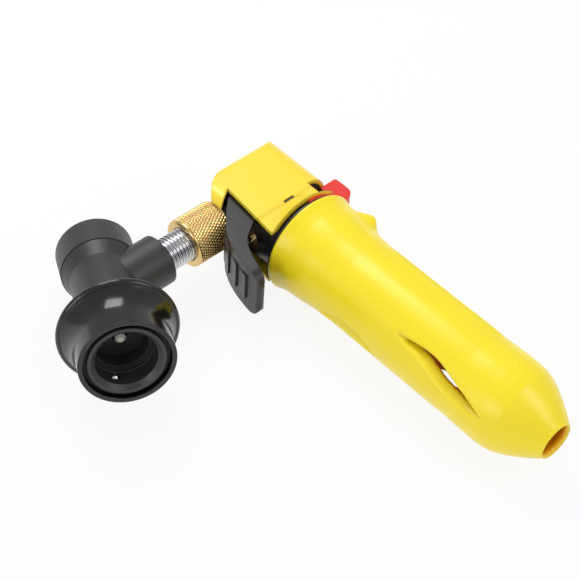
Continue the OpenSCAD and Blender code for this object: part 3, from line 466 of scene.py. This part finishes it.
def cup_skin():
    """Triangles of a grid over length and angle, cut where the distance to an opening's edge is zero;
    an edge that crosses the line gets a point where the distance, taken as linear, vanishes."""
    rows = np.concatenate([[0, 0.12, 0.28, 0.45, 0.65, 0.9, 1.3], np.linspace(1.8, 102.4, 216),
                           [102.8, 103.05, tip_u]])
    cols = 206
    uu, kk = np.meshgrid(rows, np.arange(cols), indexing="ij")
    theta = kk * 360 / cols
    h = hole_distance(uu, theta).ravel()
    u, theta = uu.ravel(), theta.ravel()
    i, k = np.meshgrid(np.arange(len(rows) - 1), np.arange(cols), indexing="ij")
    n = (k + 1) % cols
    a, b = (i * cols + k).ravel(), ((i + 1) * cols + k).ravel()
    c, d = ((i + 1) * cols + n).ravel(), (i * cols + n).ravel()
    odd = ((i + k) % 2 == 1).ravel()
    tri = np.concatenate([np.where(odd[:, None], np.stack([a, b, c], 1), np.stack([a, b, d], 1)),
                          np.where(odd[:, None], np.stack([a, c, d], 1), np.stack([b, c, d], 1))])
    solid = h > 0
    count = solid[tri].sum(1)
    keep = [tri[count == 3]]
    one, two = tri[count == 1], tri[count == 2]
    lead = np.argmax(solid[one], 1)
    one = np.stack([np.take_along_axis(one, ((lead + s) % 3)[:, None], 1)[:, 0] for s in range(3)], 1)
    lead = np.argmin(solid[two], 1)
    two = np.stack([np.take_along_axis(two, ((lead + s) % 3)[:, None], 1)[:, 0] for s in range(3)], 1)
    pairs = np.concatenate([one[:, [0, 1]], one[:, [0, 2]], two[:, [0, 1]], two[:, [0, 2]]])
    pairs = np.sort(pairs, 1)
    edges, index = np.unique(pairs, axis=0, return_inverse=True)
    index = index.ravel() + len(u)
    e1, e2, e3, e4 = np.split(index, [len(one), 2 * len(one), 2 * len(one) + len(two)])
    keep.append(np.stack([one[:, 0], e1, e2], 1))
    keep.append(np.stack([two[:, 1], two[:, 2], e4], 1))
    keep.append(np.stack([two[:, 1], e4, e3], 1))
    p, q = edges[:, 0], edges[:, 1]
    t = h[p] / (h[p] - h[q])
    dt = (theta[q] - theta[p] + 180) % 360 - 180
    u = np.concatenate([u, u[p] + t * (u[q] - u[p])])
    theta = np.concatenate([theta, theta[p] + t * dt])
    h = np.concatenate([h, np.zeros(len(t))])
    keep = np.concatenate(keep)
    outer, inner = cup_point(u, theta, h, False), cup_point(u, theta, h, True)
    total = len(u)
    first, last = np.arange(cols), (len(rows) - 1) * cols + np.arange(cols)
    strips = []
    for ring in (first, last):
        after = np.roll(ring, -1)
        strips += [np.stack([ring, after, after + total], 1),
                   np.stack([ring, after + total, ring + total], 1)]
    return np.concatenate([outer, inner]), np.concatenate([keep, keep[:, ::-1] + total] + strips)


weld_gap = 0.002


def weld(piece):
    """Joins points nearer than the weld's gap in mm, drops loose ones and turns every face outwards."""
    work = bmesh.new()
    work.from_mesh(piece.data)
    bmesh.ops.remove_doubles(work, verts=work.verts, dist=weld_gap * mm)
    bmesh.ops.dissolve_degenerate(work, dist=weld_gap * mm * 0.5, edges=work.edges)
    bmesh.ops.delete(work, geom=[v for v in work.verts if not v.link_faces], context="VERTS")
    bmesh.ops.recalc_face_normals(work, faces=work.faces)
    work.to_mesh(piece.data)
    work.free()
    piece.data.polygons.foreach_set("use_smooth", [True] * len(piece.data.polygons))
    piece.data.update()


# polypropylene: lemon yellow, half glossy; light goes a little way in, and the inner skin carries a painted
# orange shade
cup_plastic = moulded("polypropylene_lemon_moulded", "#FEE822", "#FDE21A", 0.3, relief=0.006, edge=0.1,
                      spread=0.12, inner_shade="#FFB400")
points, faces = cup_skin()
cup_piece = mesh_piece("cartridge_cup_scooped", points, faces, cup_plastic)
# the inner skin's points are marked so that they take the painted orange shade
inner_skin = cup_piece.data.attributes.new("inside", "FLOAT", "POINT")
inner_skin.data.foreach_set("value", np.repeat([0.0, 1.0], len(points) // 2))
weld(cup_piece)
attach(cup_piece, "cup")
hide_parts("cartridge_cup")

# Outlet
# A turned brass tail piece holds the swivel nut; a nylon washer seals the flare cone.
# natural nylon: off-white, slightly waxy
nylon_white = moulded("nylon_natural", "#EFEBDF", "#E9E4D6", 0.4, relief=0.004)
dress("outlet_nozzle", brass)
dress("flare_washer", nylon_white)

# Swivel nut
# A brass nut, turned and diamond knurled between two plain ends, with a polished bevel where the
# stud goes in. The knurl is cut by two families of helical grooves at 30 degrees.
nut_start, nut_len, nut_r, nut_bore, nut_back_bore = 16.5, 14.5, 8.12, 5.605, 3.4
nut_shoulder, knurl_end, bevel = 2.4, 30.1, 0.8
knurl_count, knurl_depth, knurl_angle, knurl_fade, plain_start = 48, 0.34, 30, 0.3, 0.7


def revolved(name, profile, across, paint, relief):
    """Surface of revolution on the outlet's axis: rings of the profile's radius at its station, closed
    into a torus-like skin, with relief(station, angle, radius) added to the radius."""
    side = np.cross(outlet, [0.0, 0.0, 1.0])
    other = np.cross(outlet, side)
    profile = np.asarray(profile, float)
    angle = np.linspace(0, 2 * math.pi, across, endpoint=False)
    station, radius = profile[:, 0][:, None], profile[:, 1][:, None]
    radius = radius + relief(station, angle[None, :], radius)
    out = np.cos(angle)[:, None] * side + np.sin(angle)[:, None] * other
    points = station[..., None] * outlet + radius[..., None] * out[None]
    rows = len(profile)
    i, k = np.meshgrid(np.arange(rows), np.arange(across), indexing="ij")
    j, n = (i + 1) % rows, (k + 1) % across
    faces = np.stack([i * across + k, j * across + k, j * across + n, i * across + n], -1).reshape(-1, 4)
    piece = mesh_piece(name, points.reshape(-1, 3), faces, paint)
    close_up(piece, [])
    return piece


def along(stations, radius):
    """Profile points (station, radius) of one radius at many stations."""
    return np.stack([stations, np.full(len(stations), radius)], 1)


def knurl(station, angle, radius):
    """Two families of helical grooves, each a triangular wave round the nut; the nearer groove sets the
    depth, which leaves pyramids between them. It fades at both ends."""
    lead = (station - nut_start) * math.tan(math.radians(knurl_angle)) / nut_r
    wave = [np.abs(((angle + s * lead) * knurl_count / (2 * math.pi)) % 1 - 0.5) * 2 for s in (1, -1)]
    depth = 1 - np.minimum(1, 1.25 * np.minimum(wave[0], wave[1]))
    shown = (np.clip((station - nut_start - plain_start) / knurl_fade, 0, 1)
             * np.clip((knurl_end - station) / knurl_fade, 0, 1))
    return -knurl_depth * depth * shown * (radius > nut_bore + 1.5)


nut_end = nut_start + nut_len
outside = along(np.linspace(nut_start + bevel, nut_end - bevel, 120), nut_r)
start_round = [(nut_start + bevel * (1 - math.cos(a)), nut_r - bevel + bevel * math.sin(a))
               for a in np.linspace(0, math.pi / 2, 7)[:-1]]
end_round = [(nut_end - bevel * (1 - math.sin(a)), nut_r - bevel + bevel * math.cos(a))
             for a in np.linspace(0, math.pi / 2, 7)[1:]]
bore_side = [(nut_end, nut_bore + 0.5), (nut_end - 0.45, nut_bore), (nut_start + nut_shoulder, nut_bore),
             (nut_start + nut_shoulder, nut_back_bore), (nut_start, nut_back_bore)]
nut_profile = np.concatenate([start_round, outside, end_round, bore_side])
# brass, bright where it was turned: pale champagne gold with soft highlights
nut_brass = metal("brass_knurled_bright", "#E9CB8F", "#DDB76F", 0.2, 1.2, edge=0.1)
nut_piece = revolved("swivel_nut_knurled", nut_profile, 480, nut_brass, relief=knurl)
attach(nut_piece, "nut")
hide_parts("swivel_nut")

# Flare stud
# Stainless, turned, with a rolled 7/16-20 thread: pitch 1.27 mm, crests slightly rounded. Its thin
# shank is moulded into the side arm, and gas passes through its bore.
pitch, thread_r, thread_depth = 1.27, 5.555, 0.68
stud_end, shank_r, passage_r = 50.7, 3.6, 1.5
nose_s, nose_r, cone_from, nose_end = 18.945, 4.355, 2.0, 24.9
thread_from, thread_to, arm_face = 25.4, 40.6, 40.65
crest_share, crest_round = 0.42, 2.2


def thread(station, angle, radius):
    """A helix: once every pitch the radius falls by the depth, between smooth tanh steps."""
    phase = ((station / pitch - angle / (2 * math.pi)) % 1 - 0.5) * 2
    inward = (crest_share - np.abs(phase)) / crest_share
    groove = 0.5 + 0.5 * np.tanh(crest_round * inward) / math.tanh(crest_round)
    shown = np.clip((station - thread_from) / pitch, 0, 1) * np.clip((thread_to - station) / 0.4, 0, 1)
    return -thread_depth * groove * shown * (radius > 5)


stud_profile = np.concatenate([
    [(nose_s + cone_from, passage_r), (nose_s + cone_from, cone_from), (nose_s + nose_r, nose_r),
     (nose_end, nose_r), (nose_end + 0.2, thread_r - 0.5)],
    along(np.linspace(nose_end + 0.4, arm_face, 150), thread_r),
    [(arm_face, shank_r), (stud_end, shank_r), (stud_end, passage_r)]])
stud_piece = revolved("flare_stud_threaded", stud_profile, 96, stainless, relief=thread)
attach(stud_piece, "disconnect")
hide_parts("flare_stud")

# Disconnect body
# One moulding in black acetal: neck, cone, skirt and the inclined side arm.
# acetal from a spark-eroded tool: dark grey, half matt, with a fine pebbled grain drawn slightly coarse
body_acetal = moulded("acetal_black_grained", "#2C2D2F", "#27282A", 0.4, grain=0.45, relief=0.07, edge=0.3)
dress("disconnect_body", body_acetal)

# Cap
# The screw cap over the poppet chamber, moulded in black acetal.
# acetal from a blasted tool: dark grey, half matt and even
cap_acetal = moulded("acetal_black_satin", "#303133", "#2B2C2E", 0.44, grain=0.4, relief=0.01, edge=0.5)
dress("disconnect_cap", cap_acetal)
dress("cap_seal", rubber)

# Poppet
# Natural nylon poppet with a rubber seal, closed by its own spring inside the chamber.
dress("poppet", nylon_white)
dress("poppet_seal", rubber)
tilt, roll = math.radians(27.3), math.radians(14)
socket = np.array([math.cos(tilt) * math.cos(roll), -math.sin(tilt), math.cos(tilt) * math.sin(roll)])
crossing = np.array([0.0, -61.5, 0.0])


def on_socket(s):
    """The point at distance s from the arm's axis, along the socket's axis."""
    return crossing + s * socket


plug_s, poppet_head_s = -4.2, 15.4
poppet_coil_r, poppet_wire, poppet_turns, poppet_keep = 2.9, 0.6, 8, 0.87
piece = coil_piece("poppet_closing_spring", on_socket(plug_s), on_socket(poppet_head_s), socket,
                   poppet_coil_r, poppet_wire, poppet_turns, "poppet_spring", spring_steel)
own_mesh(piece)
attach(piece, "disconnect")

# Locking collar
# A collar with a finger flange, moulded in black acetal. It slides on the skirt against its spring and
# holds the steel lock balls in the post's groove; a steel ring, coloured nearly black as painted shade, keeps
# it on the skirt.
# acetal from a polished tool: glossy black
collar_acetal = moulded("acetal_black_polished", "#0A0A0B", "#0E0E10", 0.17, relief=0.003, edge=0.5, coat=0.1)
dress("locking_collar", collar_acetal)
shelf_s, land_s = 20.4, 28.02
collar_coil_r, collar_wire, collar_turns, collar_keep = 13.1, 0.7, 4, 0.46
piece = coil_piece("collar_return_spring", on_socket(shelf_s), on_socket(land_s), socket,
                   collar_coil_r, collar_wire, collar_turns, "collar_spring", spring_steel)
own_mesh(piece)
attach(piece, "disconnect")
# spring steel with painted shade: coloured nearly black for the shade in the gap under the collar
gap_shade_steel = metal("spring_steel_painted_gap_shade", "#2A2B2E", "#222326", 0.35, 0.6)
dress("retaining_ring", gap_shade_steel)
for ball in ("lock_ball_a", "lock_ball_b", "lock_ball_c"):
    dress(ball, stainless)
